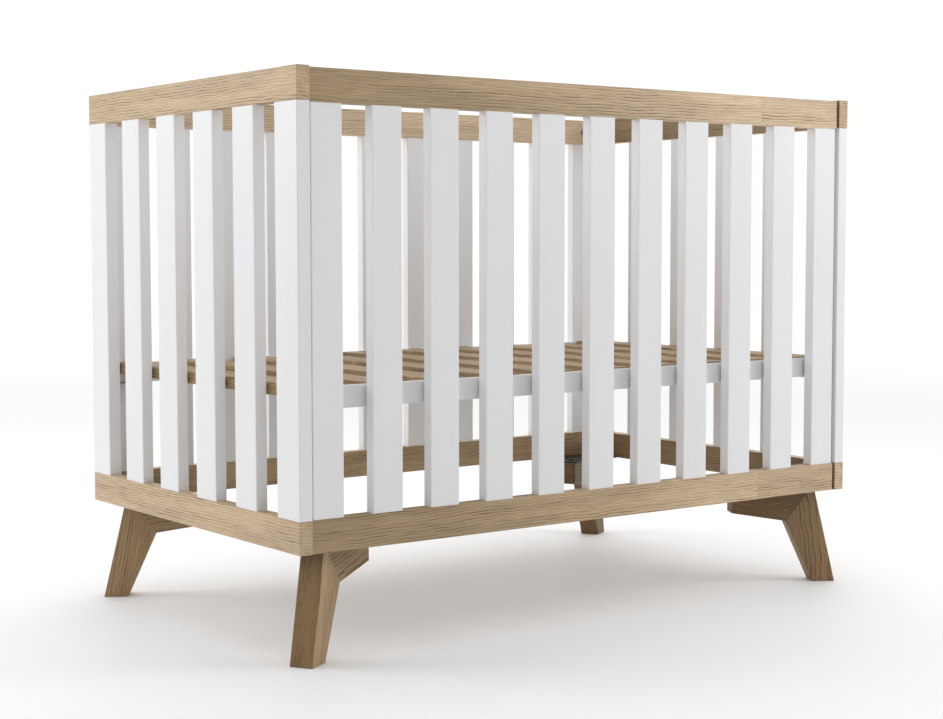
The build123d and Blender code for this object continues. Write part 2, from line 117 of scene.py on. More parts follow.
# ---------------------------------------------------------------- shader helpers
class Bench:
    """Adds and joins the nodes of one shader tree."""

    def __init__(self, tree: bpy.types.NodeTree) -> None:
        """Start on an empty tree.

        Args:
            tree: The tree to fill.
        """
        self.tree = tree
        self.tree.nodes.clear()

    def add(self, kind: str, **settings: object) -> bpy.types.Node:
        """Add a node.

        Args:
            kind: The node's type name.
            settings: Attributes to set on it.

        Returns:
            The new node.
        """
        node = self.tree.nodes.new(kind)
        for name, value in settings.items():
            setattr(node, name, value)
        return node

    def feed(self, socket: bpy.types.NodeSocket, value: object) -> None:
        """Join a socket to another, or set its value.

        Args:
            socket: The input.
            value: An output socket, a number, a colour or a vector.
        """
        if isinstance(value, bpy.types.NodeSocket):
            self.tree.links.new(value, socket)
        elif isinstance(value, (int, float)):
            socket.default_value = value
        elif len(value) == 3 and len(socket.default_value) == 4:
            socket.default_value = (*value, 1.0)
        else:
            socket.default_value = tuple(value)

    def math(self, work: str, *values: object) -> bpy.types.NodeSocket:
        """Do arithmetic.

        Args:
            work: The operation's name.
            values: Its inputs, in order.

        Returns:
            The result's socket.
        """
        node = self.add("ShaderNodeMath", operation=work)
        for socket, value in zip(node.inputs, values):
            self.feed(socket, value)
        return node.outputs[0]

    def vector(self, work: str, *values: object, out: str = "Vector") -> bpy.types.NodeSocket:
        """Do vector arithmetic.

        Args:
            work: The operation's name.
            values: Its inputs, in order.
            out: The name of the wanted output.

        Returns:
            The result's socket.
        """
        node = self.add("ShaderNodeVectorMath", operation=work)
        for socket, value in zip(node.inputs, values):
            self.feed(socket, value)
        return node.outputs[out]

    def dot(self, first: object, second: object) -> bpy.types.NodeSocket:
        """Dot product of two vectors."""
        return self.vector("DOT_PRODUCT", first, second, out="Value")

    def coordinates(self, kind: str) -> bpy.types.NodeSocket:
        """Texture coordinates of one kind."""
        return self.add("ShaderNodeTexCoord").outputs[kind]

    def parts(self, vector: bpy.types.NodeSocket) -> Sequence[bpy.types.NodeSocket]:
        """The three parts of a vector.

        Args:
            vector: The vector.

        Returns:
            Its X, Y and Z sockets.
        """
        node = self.add("ShaderNodeSeparateXYZ")
        self.feed(node.inputs[0], vector)
        return node.outputs

    def cast(self, level: bpy.types.NodeSocket, powers: Triple) -> bpy.types.NodeSocket:
        """A colour cast that deepens with its level: each part is a power of the level.

        Args:
            level: The level.
            powers: The power for each part.

        Returns:
            The colour's socket.
        """
        node = self.add("ShaderNodeCombineColor")
        for socket, power in zip(node.inputs[:3], powers):
            self.feed(socket, self.math("POWER", level, power))
        return node.outputs[0]

    def principled(self) -> bpy.types.Node:
        """A surface shader, joined to the material's output."""
        out = self.add("ShaderNodeOutputMaterial")
        shader = self.add("ShaderNodeBsdfPrincipled")
        self.feed(out.inputs["Surface"], shader.outputs[0])
        return shader

    def emboss(self, shader: bpy.types.Node, height: bpy.types.NodeSocket, relief: float,
               strength: float) -> None:
        """Give a surface a fine relief.

        Args:
            shader: The surface shader.
            height: The relief's pattern.
            relief: Its height in metres.
            strength: How strongly it shows.
        """
        bump = self.add("ShaderNodeBump")
        bump.inputs["Strength"].default_value = strength
        bump.inputs["Distance"].default_value = relief
        self.feed(bump.inputs["Height"], height)
        self.feed(shader.inputs["Normal"], bump.outputs[0])

    def noise(self, place: bpy.types.NodeSocket, stretch: Triple, detail: float = 2.0,
              rough: float = 0.5) -> bpy.types.NodeSocket:
        """Smooth noise, with its own scale along each axis.

        Args:
            place: Where to look it up.
            stretch: Features per metre along each axis.
            detail: How many finer octaves it has.
            rough: How strong they are.

        Returns:
            The noise's socket.
        """
        node = self.add("ShaderNodeTexNoise", noise_dimensions="3D")
        self.feed(node.inputs["Vector"], self.vector("MULTIPLY", place, stretch))
        node.inputs["Scale"].default_value = 1.0
        node.inputs["Detail"].default_value = detail
        node.inputs["Roughness"].default_value = rough
        return node.outputs["Fac"]

    def ease(self, value: object, low: float, high: float, start: float = 0.0,
             end: float = 1.0) -> bpy.types.NodeSocket:
        """Smooth step from one level to another.

        Args:
            value: What drives it.
            low: Where the step starts.
            high: Where it ends.
            start: Level below the step.
            end: Level above it.

        Returns:
            The level's socket.
        """
        node = self.add("ShaderNodeMapRange", interpolation_type="SMOOTHSTEP")
        for name, given in (("Value", value), ("From Min", low), ("From Max", high),
                            ("To Min", start), ("To Max", end)):
            self.feed(node.inputs[name], given)
        return node.outputs[0]

    def tint(self, share: object, first: object, second: object,
             way: str = "MIX") -> bpy.types.NodeSocket:
        """Mix two colours.

        Args:
            share: How much of the second.
            first: A colour or its socket.
            second: A colour or its socket.
            way: The blend mode.

        Returns:
            The mixed colour's socket.
        """
        node = self.add("ShaderNodeMix", data_type="RGBA", blend_type=way)
        self.feed(node.inputs[0], share)
        self.feed(node.inputs[6], first)
        self.feed(node.inputs[7], second)
        return node.outputs[2]


def oak_figure() -> bpy.types.NodeTree:
    """Node group that turns a place in a log into oak's colour, gloss and relief.

    The log runs along X with its heart on the axis: slow rings, wavy over the length, rows of open
    pores in the early wood, fine fibres and a few pale rays.

    Returns:
        The group's tree.
    """
    found = bpy.data.node_groups.get("oak_figure")
    if found is not None:
        return found
    tree = bpy.data.node_groups.new("oak_figure", "ShaderNodeTree")
    for name, kind in (("Place", "Vector"), ("Ring", "Float"), ("Sway", "Float"),
                       ("Pale", "Color"), ("Brown", "Color"), ("Pore", "Color")):
        tree.interface.new_socket(name, in_out="INPUT", socket_type=f"NodeSocket{kind}")
    for name, kind in (("Colour", "Color"), ("Gloss", "Float"), ("Relief", "Float")):
        tree.interface.new_socket(name, in_out="OUTPUT", socket_type=f"NodeSocket{kind}")
    bench = Bench(tree)
    given = bench.add("NodeGroupInput").outputs
    result = bench.add("NodeGroupOutput").inputs
    place = given["Place"]
    _, beside, over = bench.parts(place)
    radius = bench.math("SQRT", bench.math("ADD", bench.math("MULTIPLY", beside, beside),
                                           bench.math("MULTIPLY", over, over)))
    for stretch, height in RING_SWINGS:
        swing = bench.math("SUBTRACT", bench.noise(place, stretch, 1.0), 0.5)
        radius = bench.math("MULTIPLY_ADD", swing, bench.math("MULTIPLY", given["Sway"], height), radius)
    phase = bench.math("FRACT", bench.math("DIVIDE", radius, given["Ring"]))
    early = bench.math("MULTIPLY", bench.ease(phase, 0.0, 0.35), bench.ease(phase, 0.35, 0.85, 1.0, 0.0))
    weight = bench.ease(bench.noise(place, PORE_ROWS, 1.0), 0.30, 0.70, 0.60, 1.20)
    dashes = bench.ease(bench.noise(place, PORE_DASHES, 3.0, 0.62), 0.36, 0.66)
    pits = bench.ease(bench.noise(place, PORE_PITS, 1.0, 0.6), 0.50, 0.70)
    rows = bench.math("MULTIPLY", early, weight)
    pores = bench.math("MULTIPLY", rows, bench.math("MULTIPLY_ADD", dashes, 0.44, 0.48))
    pores = bench.math("MAXIMUM", pores, bench.math("MULTIPLY", dashes, 0.16))
    pitted = bench.math("MULTIPLY", pits, bench.math("MULTIPLY_ADD", early, 0.28, 0.10))
    pores = bench.math("MAXIMUM", pores, pitted)
    fibre = bench.noise(place, FIBRES, 3.0, 0.7)
    cloud = bench.noise(place, CLOUDS, 2.0)
    rays = bench.ease(bench.noise(place, RAYS, 1.0), 0.66, 0.74)
    wood = bench.tint(bench.ease(phase, 0.40, 1.0), given["Pale"], given["Brown"])
    wood = bench.tint(bench.math("MULTIPLY", rays, RAY_SHARE), wood, RAY_COLOUR)
    wood = bench.tint(pores, wood, given["Pore"])
    shade = bench.math("MULTIPLY", bench.ease(fibre, 0.30, 0.70, 0.86, 1.10),
                       bench.ease(cloud, 0.30, 0.70, 0.90, 1.09))
    bench.feed(result["Colour"], bench.tint(1.0, wood, shade, "MULTIPLY"))
    satin = bench.ease(fibre, 0.3, 0.7, 0.50, 0.42)
    bench.feed(result["Gloss"], bench.math("MULTIPLY_ADD", pores, 0.22, satin))
    relief = bench.math("MULTIPLY_ADD", fibre, 0.25, bench.math("MULTIPLY", pores, -0.8))
    bench.feed(result["Relief"], relief)
    return tree


# ---------------------------------------------------------------- finishes
@dataclass(frozen=True)
class Staves:
    """Two staves glued end to end, running from darker to lighter: partly the wood's own tone, partly painted
    light.

    Attributes:
        joint: Where the second stave starts, along the grain from the board's middle.
        half: Half the board's length.
        tones: Tone at the start and at the end.
    """

    joint: float
    half: float
    tones: tuple[float, float]


@dataclass(frozen=True)
class Board:
    """How one board, or one row of boards, was cut from its log.

    Attributes:
        middle: Its middle, in the frame.
        run: Direction of the grain.
        across: Direction across the grain, in the wide face.
        seed: Where along the log it was cut.
        staves: Its glued joint, if it has one.
        painted_shade_side: Direction and tone of a face that gets painted shade, its wood made darker.
        repeat: Direction and pitch of a row of boards that share a node.
    """

    middle: Vector
    run: Vector
    across: Vector
    seed: float
    staves: Staves | None = None
    painted_shade_side: tuple[Vector, float] | None = None
    repeat: tuple[Vector, float] | None = None


@dataclass(frozen=True)
class Oak:
    """Oiled oak, sawn from a log.

    Attributes:
        pale: Colour of the early wood.
        brown: Colour of the late wood.
        pore: Colour of the open pores.
        ring: Width of a growth ring.
        sway: How strongly the rings swing.
        heart: Where the board lies beside the log's heart.
        relief: Depth of the pores.
        ior: The oil's refractive index.
    """

    pale: RGB = (0.800, 0.618, 0.408)
    brown: RGB = (0.520, 0.362, 0.212)
    pore: RGB = (0.195, 0.120, 0.062)
    ring: float = 0.0052
    sway: float = 1.0
    heart: tuple[float, float] = (0.100, 0.012)
    relief: float = 0.00022
    ior: float = 1.45

    def toned(self, tone: float) -> "Oak":
        """The same oak made lighter or darker, used as painted light and shade on some boards.

        Args:
            tone: Its tone over that of the usual board.

        Returns:
            The finish.
        """
        depths = tuple(tone ** power for power in BOARD_POWERS)
        pale, brown, pore = (tuple(part * depth for part, depth in zip(colour, depths))
                             for colour in (self.pale, self.brown, self.pore))
        return replace(self, pale=pale, brown=brown, pore=pore)

    def lay(self, bench: Bench, board: Board) -> bpy.types.NodeSocket:
        """Turn a place in the frame into a place on the board, with X along its grain.

        Args:
            bench: Where the nodes go.
            board: The board.

        Returns:
            The place's socket.
        """
        run = board.run.normalized()
        across = (board.across - run * board.across.dot(run)).normalized()
        turn = Matrix((run, across, run.cross(across)))
        mapping = bench.add("ShaderNodeMapping", vector_type="POINT")
        bench.feed(mapping.inputs["Vector"], bench.coordinates("Object"))
        mapping.inputs["Rotation"].default_value = turn.to_euler("XYZ")
        mapping.inputs["Location"].default_value = -(turn @ board.middle)
        return mapping.outputs[0]

    def part_row(self, bench: Bench, place: bpy.types.NodeSocket, along: Vector,
                 pitch: float) -> bpy.types.NodeSocket:
        """Give each board of a row its own middle and its own part of the log.

        Args:
            bench: Where the nodes go.
            place: The place on the row.
            along: Direction of the row, which is across the grain.
            pitch: The row's pitch.

        Returns:
            The place's socket.
        """
        cell = bench.math("FLOOR", bench.math("DIVIDE", bench.dot(bench.coordinates("Object"), along), pitch))
        toss = bench.add("ShaderNodeTexWhiteNoise", noise_dimensions="1D")
        bench.feed(toss.inputs["W"], cell)
        middle = bench.math("MULTIPLY", bench.math("ADD", cell, 0.5), pitch)
        place = bench.vector("SUBTRACT", place, bench.vector("MULTIPLY", middle, ACROSS))
        return bench.vector("ADD", place, bench.vector("MULTIPLY", toss.outputs["Color"], ROW_JUMP))

    def paint_face_shade(self, bench: Bench, colour: bpy.types.NodeSocket, facing: Vector,
               tone: float) -> bpy.types.NodeSocket:
        """Paint shade on one face: its wood is made darker.

        Args:
            bench: Where the nodes go.
            colour: The board's colour.
            facing: Where the face looks.
            tone: The face's tone over the board's.

        Returns:
            The colour's socket.
        """
        turned = bench.dot(bench.coordinates("Normal"), facing)
        stain = tuple(tone ** power for power in BOARD_POWERS)
        return bench.tint(bench.ease(turned, *FACE_TURN), colour, bench.tint(1.0, colour, stain, "MULTIPLY"))

    def dress(self, name: str, board: Board) -> bpy.types.Material:
        """Make the material for one board.

        Args:
            name: The material's name.
            board: How the board was cut.

        Returns:
            The material.
        """
        material = bpy.data.materials.new(name)
        material.use_nodes = True
        bench = Bench(material.node_tree)
        shader = bench.principled()
        place = self.lay(bench, board)
        staves = board.staves
        if staves is not None:
            along = bench.parts(place)[0]
            tone = bench.ease(along, -staves.half, staves.half, *staves.tones)
            beyond = bench.math("GREATER_THAN", along, staves.joint)
            place = bench.vector("ADD", place, bench.vector("MULTIPLY", beyond, STAVE_JUMP))
        if board.repeat is not None:
            place = self.part_row(bench, place, *board.repeat)
        place = bench.vector("ADD", place, (board.seed, *self.heart))
        figure = bench.add("ShaderNodeGroup", node_tree=oak_figure())
        for socket, value in (("Place", place), ("Ring", self.ring), ("Sway", self.sway),
                              ("Pale", self.pale), ("Brown", self.brown), ("Pore", self.pore)):
            bench.feed(figure.inputs[socket], value)
        colour = figure.outputs["Colour"]
        if staves is not None:
            # The fade along the staves is partly the wood's own tone and partly painted light.
            colour = bench.tint(1.0, colour, bench.cast(tone, FADE_POWERS), "MULTIPLY")
            colour = bench.tint(beyond, colour, bench.tint(1.0, colour, STAVE_TINT, "MULTIPLY"))
        # Painted shade: the face that looks the given way gets darker wood.
        if board.painted_shade_side is not None:
            colour = self.paint_face_shade(bench, colour, *board.painted_shade_side)
        bench.feed(shader.inputs["Base Color"], colour)
        bench.feed(shader.inputs["Roughness"], figure.outputs["Gloss"])
        shader.inputs["IOR"].default_value = self.ior
        bench.emboss(shader, figure.outputs["Relief"], self.relief, 0.5)
        return material


@dataclass(frozen=True)
class Paint:
    """Sprayed satin paint on wood.

    Attributes:
        colour: Its colour.
        roughness: Its roughness.
        relief: Height of its orange peel.
        cloudy: Its darkest colour over its usual one.
        ior: Its refractive index.
        clouds: Features of its clouds per metre along each axis.
        peel: The same for its orange peel.
        grain: The same for the wood's grain that shows through.
    """

    colour: RGB = (0.860, 0.860, 0.868)
    roughness: float = 0.40
    relief: float = 0.00006
    cloudy: float = 0.972
    ior: float = 1.48
    clouds: Triple = (9, 9, 2.2)
    peel: Triple = (420, 420, 420)
    grain: Triple = (260, 260, 7)

    def dress(self, name: str) -> bpy.types.Material:
        """Make the material.

        Args:
            name: The material's name.

        Returns:
            The material.
        """
        material = bpy.data.materials.new(name)
        material.use_nodes = True
        bench = Bench(material.node_tree)
        shader = bench.principled()
        place = bench.coordinates("Object")
        cloud = bench.noise(place, self.clouds, 3.0)
        darker = tuple(part * self.cloudy for part in self.colour)
        bench.feed(shader.inputs["Base Color"], bench.tint(bench.ease(cloud, 0.3, 0.7), darker, self.colour))
        peel = bench.noise(place, self.peel, 2.0)
        grain = bench.noise(place, self.grain, 2.0)
        bench.feed(shader.inputs["Roughness"],
                   bench.math("ADD", bench.ease(peel, 0.3, 0.7, -0.04, 0.05), self.roughness))
        shader.inputs["IOR"].default_value = self.ior
        bench.emboss(shader, bench.math("MULTIPLY_ADD", grain, 0.9, peel), self.relief, 0.35)
        return material


@dataclass(frozen=True)
class Metal:
    """Plated or cast metal.

    Attributes:
        colour: Its colour.
        roughness: Its roughness.
        mottle: Patches per metre.
        relief: Height of its grain.
        patchy: Its darkest colour over its usual one.
        grit: Grains per metre.
    """

    colour: RGB = (0.66, 0.67, 0.69)
    roughness: float = 0.30
    mottle: float = 90.0
    relief: float = 0.00003
    patchy: float = 0.80
    grit: float = 1400.0

    def dress(self, name: str) -> bpy.types.Material:
        """Make the material.

        Args:
            name: The material's name.

        Returns:
            The material.
        """
        material = bpy.data.materials.new(name)
        material.use_nodes = True
        bench = Bench(material.node_tree)
        shader = bench.principled()
        place = bench.coordinates("Object")
        patch = bench.noise(place, (self.mottle,) * 3, 3.0, 0.6)
        grit = bench.noise(place, (self.grit,) * 3, 1.0)
        darker = tuple(part * self.patchy for part in self.colour)
        bench.feed(shader.inputs["Base Color"],
                   bench.tint(bench.ease(patch, 0.35, 0.65), darker, self.colour))
        bench.feed(shader.inputs["Roughness"],
                   bench.math("ADD", bench.ease(patch, 0.3, 0.7, 0.12, -0.03), self.roughness))
        shader.inputs["Metallic"].default_value = 1.0
        bench.emboss(shader, bench.math("ADD", grit, patch), self.relief, 0.4)
        return material


# ---------------------------------------------------------------- modelling helpers
def middle_of(box: Box) -> Vector:
    """Middle of a box."""
    return (box[0] + box[1]) / 2


def coat(node: str, material: bpy.types.Material) -> None:
    """Put a material on a frame node.

    Args:
        node: The node's name.
        material: What it gets.
    """
    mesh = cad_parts[node].data
    if not mesh.materials:
        mesh.materials.append(material)
    for index in range(len(mesh.materials)):
        mesh.materials[index] = material


def solids_of(node: str) -> list[Box]:
    """Boxes of the separate solids in a frame node.

    Args:
        node: The node's name.

    Returns:
        The lowest and highest corner of each solid, in a steady order.
    """
    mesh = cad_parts[node].data
    leader: dict[tuple[int, ...], tuple[int, ...]] = {}

    def find(key: tuple[int, ...]) -> tuple[int, ...]:
        """Follow a point to the one that stands for its solid.

        Args:
            key: The point.

        Returns:
            The point that stands for its solid.
        """
        while leader[key] != key:
            leader[key] = leader[leader[key]]
            key = leader[key]
        return key

    keys = [tuple(round(part / SAME_POINT) for part in vertex.co) for vertex in mesh.vertices]
    for key in keys:
        leader.setdefault(key, key)
    for polygon in mesh.polygons:
        first, *others = [find(keys[index]) for index in polygon.vertices]
        for other in others:
            leader[find(other)] = find(first)
    corners: dict[tuple[int, ...], list[Vector]] = {}
    for key, vertex in zip(keys, mesh.vertices):
        corners.setdefault(find(key), []).append(vertex.co)
    boxes = []
    for points in corners.values():
        low = Vector(min(point[axis] for point in points) for axis in range(3))
        high = Vector(max(point[axis] for point in points) for axis in range(3))
        boxes.append((low, high))
    return sorted(boxes, key=lambda pair: tuple(round(part, 4) for part in pair[0]))


def clear_selection() -> None:
    """Leave nothing selected, in object mode."""
    if bpy.context.object is not None and bpy.context.object.mode != "OBJECT":
        bpy.ops.object.mode_set(mode="OBJECT")
    bpy.ops.object.select_all(action="DESELECT")


def pick(piece: bpy.types.Object) -> None:
    """Make one object the only one selected, and the active one.

    Args:
        piece: The object.
    """
    clear_selection()
    piece.select_set(True)
    bpy.context.view_layer.objects.active = piece


def rod(radius: float, low: float, high: float, sides: int, top: float | None = None) -> bpy.types.Object:
    """An upright round bar, or a cone frustum.

    Args:
        radius: Its radius at the bottom.
        low: Height of its bottom.
        high: Height of its top.
        sides: How many sides it has.
        top: Its radius at the top, if another.

    Returns:
        The bar.
    """
    clear_selection()
    bpy.ops.mesh.primitive_cone_add(vertices=sides, radius1=radius, radius2=radius if top is None else top,
                                    depth=high - low, location=(0, 0, (low + high) / 2))
    bar = bpy.context.object
    bpy.ops.object.transform_apply(location=True, rotation=True, scale=True)
    return bar


def select_edges(piece: bpy.types.Object, wanted: Callable[[Vector, Vector], bool]) -> int:
    """Select the edges of a piece in edit mode, by the places of their ends.

    Args:
        piece: The piece, which must be the active one.
        wanted: Test on an edge's two end points.

    Returns:
        How many are selected.
    """
    bpy.ops.object.mode_set(mode="EDIT")
    bpy.ops.mesh.select_mode(type="EDGE")
    bpy.ops.mesh.select_all(action="DESELECT")
    bpy.ops.object.mode_set(mode="OBJECT")
    points = piece.data.vertices
    count = 0
    for edge in piece.data.edges:
        edge.select = bool(wanted(points[edge.vertices[0]].co, points[edge.vertices[1]].co))
        count += edge.select
    bpy.ops.object.mode_set(mode="EDIT")
    return count


def ease_rim(piece: bpy.types.Object, height: float, radius: float, width: float, steps: int) -> None:
    """Round the rim of a round head.

    Args:
        piece: The head.
        height: Height of the rim.
        radius: Its radius.
        width: Width of the rounding.
        steps: How many facets it has.
    """
    pick(piece)

    def on_rim(first: Vector, second: Vector) -> bool:
        """Whether both ends lie on the rim."""
        return all(abs(end.z - height) < TOUCHING and abs(end.xy.length - radius) < SAME_POINT
                   for end in (first, second))

    if select_edges(piece, on_rim):
        bpy.ops.mesh.bevel(offset=width, segments=steps, profile=0.5)
    bpy.ops.object.mode_set(mode="OBJECT")


def cut(piece: bpy.types.Object, tool: bpy.types.Object) -> None:
    """Cut one solid out of another, and throw the cutter away.

    Args:
        piece: What is cut.
        tool: The cutter.
    """
    pick(piece)
    modifier = piece.modifiers.new("cut", "BOOLEAN")
    modifier.operation = "DIFFERENCE"
    modifier.solver = "EXACT"
    modifier.object = tool
    bpy.ops.object.modifier_apply(modifier=modifier.name)
    bpy.data.objects.remove(tool, do_unlink=True)


def join(pieces: Sequence[bpy.types.Object], name: str) -> bpy.types.Object:
    """Join pieces into one object.

    Args:
        pieces: The pieces; the first one stays.
        name: The joined object's name.

    Returns:
        The joined object.
    """
    clear_selection()
    for piece in pieces:
        piece.select_set(True)
    bpy.context.view_layer.objects.active = pieces[0]
    if len(pieces) > 1:
        bpy.ops.object.join()
    joined = bpy.context.object
    joined.name = joined.data.name = name
    return joined


def cross_cutter(arm: float, width: float, low: float, high: float, taper: float) -> bpy.types.Object:
    """A cutter shaped like the tip of a cross driver.

    Args:
        arm: Length of an arm, from the middle.
        width: Width of an arm.
        low: Height of its tip.
        high: Height of its wide end.
        taper: Size of the tip over that of the wide end.

    Returns:
        The cutter.
    """
    blades = []
    for turn in (0.0, math.pi / 2):
        clear_selection()
        bpy.ops.mesh.primitive_cube_add(size=1, location=(0, 0, (low + high) / 2), rotation=(0, 0, turn))
        blade = bpy.context.object
        blade.scale = (2 * arm, width, high - low)
        bpy.ops.object.transform_apply(location=True, rotation=True, scale=True)
        for vertex in blade.data.vertices:
            if abs(vertex.co.z - low) < TOUCHING:
                vertex.co.xy *= taper
        blades.append(blade)
    pick(blades[0])
    union = blades[0].modifiers.new("union", "BOOLEAN")
    union.operation = "UNION"
    union.solver = "EXACT"
    union.object = blades[1]
    bpy.ops.object.modifier_apply(modifier=union.name)
    bpy.data.objects.remove(blades[1], do_unlink=True)
    return blades[0]


def set_out(pattern: bpy.types.Object, places: Iterable[Matrix], name: str) -> bpy.types.Object:
    """Copy a finished pattern to each of its places, as one object.

    Args:
        pattern: The piece to copy; it is thrown away.
        places: Where each copy goes.
        name: The joined object's name.

    Returns:
        The joined copies.
    """
    copies = []
    for place in places:
        copy = pattern.copy()
        copy.data = pattern.data.copy()
        bpy.context.scene.collection.objects.link(copy)
        copy.data.transform(place)
        copies.append(copy)
    bpy.data.objects.remove(pattern, do_unlink=True)
    return join(copies, name)


def finish_metal(piece: bpy.types.Object, material: bpy.types.Material, node: str) -> None:
    """Shade, dress and place a metal fitting of the crib's frame.

    Args:
        piece: The fitting.
        material: Its finish.
        node: The frame node that it stands for.
    """
    pick(piece)
    bpy.ops.object.mode_set(mode="EDIT")
    bpy.ops.mesh.select_all(action="SELECT")
    bpy.ops.mesh.remove_doubles(threshold=TOUCHING)
    bpy.ops.mesh.normals_make_consistent(inside=False)
    bpy.ops.object.mode_set(mode="OBJECT")
    bpy.ops.object.shade_smooth_by_angle(angle=math.radians(SMOOTH_DEGREES))
    piece.data.materials.clear()
    piece.data.materials.append(material)
    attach(piece, FRAME_BODY)
    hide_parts(node)
    log.info("%s: %d faces, for %s", piece.name, len(piece.data.polygons), node)


def upright(spot: Vector, axis: Vector) -> Matrix:
    """Matrix that takes a pattern made on +Z to a spot and an axis.

    Args:
        spot: Where the pattern's origin goes.
        axis: Where its +Z points.

    Returns:
        The matrix.
    """
    return Matrix.Translation(spot) @ axis.to_track_quat("Z", "Y").to_matrix().to_4x4()


# ---------------------------------------------------------------- fasteners
@dataclass(frozen=True)
class ButtonBolt:
    """A button-head bolt with a hexagon socket.

    Attributes:
        shank: Radius of the shank.
        hex_across: Width of the socket across its flats.
        hex_depth: Depth of the socket.
        rounding: Width of the head's rounding over its height.
        tip: Width of the bevel at the shank's end.
        overlap: How far the shank reaches into the head.
        sides: Sides of the head and of the shank.
        steps: Facets of the head's rounding.
    """

    shank: float
    hex_across: float
    hex_depth: float
    rounding: float
    tip: float = 0.0
    overlap: float = 0.0002
    sides: tuple[int, int] = (40, 24)
    steps: int = 5

    def model(self, radius: float, height: float, length: float) -> bpy.types.Object:
        """Model one bolt, its seat at the origin and its shank down.

        Args:
            radius: The head's radius.
            height: The head's height.
            length: The shank's length.

        Returns:
            The bolt.
        """
        head = rod(radius, 0.0, height, self.sides[0])
        ease_rim(head, height, radius, min(height, radius) * self.rounding, self.steps)
        hex_radius = self.hex_across / 2 / math.cos(math.pi / 6)
        cut(head, rod(hex_radius, height - self.hex_depth, height * 2, 6))
        stem = rod(self.shank, -length, self.overlap, self.sides[1])
        if self.tip > 0:
            ease_rim(stem, -length, self.shank, self.tip, 1)
        return join([head, stem], "bolt")


@dataclass(frozen=True)
class CrossScrew:
    """A countersunk screw with a cross recess.

    Attributes:
        shank: Radius of the shank.
        head_depth: Depth of the head.
        arm: Length of a recess arm over the head's radius.
        width: Width of a recess arm over the head's radius.
        depth: Depth of the recess over the head's.
        taper: Size of the recess at its bottom over that at its top.
        proud: How far the cutter stands above the head.
        overlap: How far the shank reaches into the head.
        sides: Sides of the head and of the shank.
    """

    shank: float = 0.002
    head_depth: float = 0.002
    arm: float = 0.62
    width: float = 0.22
    depth: float = 0.80
    taper: float = 0.45
    proud: float = 0.001
    overlap: float = 0.0001
    sides: tuple[int, int] = (32, 16)

    def model(self, radius: float, length: float) -> bpy.types.Object:
        """Model one screw, its face at the origin and its shank down.

        Args:
            radius: The head's radius.
            length: The whole length.

        Returns:
            The screw.
        """
        head = rod(self.shank, -self.head_depth, 0.0, self.sides[0], radius)
        stem = rod(self.shank, -length, -self.head_depth + self.overlap, self.sides[1])
        cut(head, cross_cutter(radius * self.arm, radius * self.width, -self.head_depth * self.depth,
                               self.proud, self.taper))
        return join([head, stem], "screw")


@dataclass(frozen=True)
class CamLock:
    """A cam lock with a dished face and a cross recess.

    Attributes:
        rim: Width of the rounding at the face's edge.
        ring: Width of the flat ring round the dish, over the cam's radius.
        dish: Depth of the dish.
        slot_arm: Length of a recess arm.
        slot_width: Width of a recess arm.
        slot_depth: Depth of the recess below the dish.
        taper: Size of the recess at its bottom over that at its top.
        proud: How far the cutter stands above the face.
        sides: Sides of the cam.
        steps: Facets of the rounding.
    """

    rim: float = 0.0005
    ring: float = 0.16
    dish: float = 0.0009
    slot_arm: float = 0.0042
    slot_width: float = 0.0013
    slot_depth: float = 0.0022
    taper: float = 0.7
    proud: float = 0.001
    sides: int = 48
    steps: int = 2

    def model(self, radius: float, depth: float) -> bpy.types.Object:
        """Model one cam, its face at the origin and pointing up.

        Args:
            radius: The cam's radius.
            depth: How deep it goes.

        Returns:
            The cam.
        """
        cam = rod(radius, -depth, 0.0, self.sides)
        pick(cam)
        bpy.ops.object.mode_set(mode="EDIT")
        bpy.ops.mesh.select_mode(type="FACE")
        bpy.ops.mesh.select_all(action="DESELECT")
        bpy.ops.object.mode_set(mode="OBJECT")
        for polygon in cam.data.polygons:
            polygon.select = polygon.normal.z > 0.9
        bpy.ops.object.mode_set(mode="EDIT")
        bpy.ops.mesh.inset(thickness=radius * self.ring)
        bpy.ops.mesh.extrude_region_move(TRANSFORM_OT_translate={"value": (0, 0, -self.dish)})
        bpy.ops.object.mode_set(mode="OBJECT")
        ease_rim(cam, 0.0, radius, self.rim, self.steps)
        cut(cam, cross_cutter(self.slot_arm, self.slot_width, -self.slot_depth - self.dish,
                              self.proud, self.taper))
        return cam


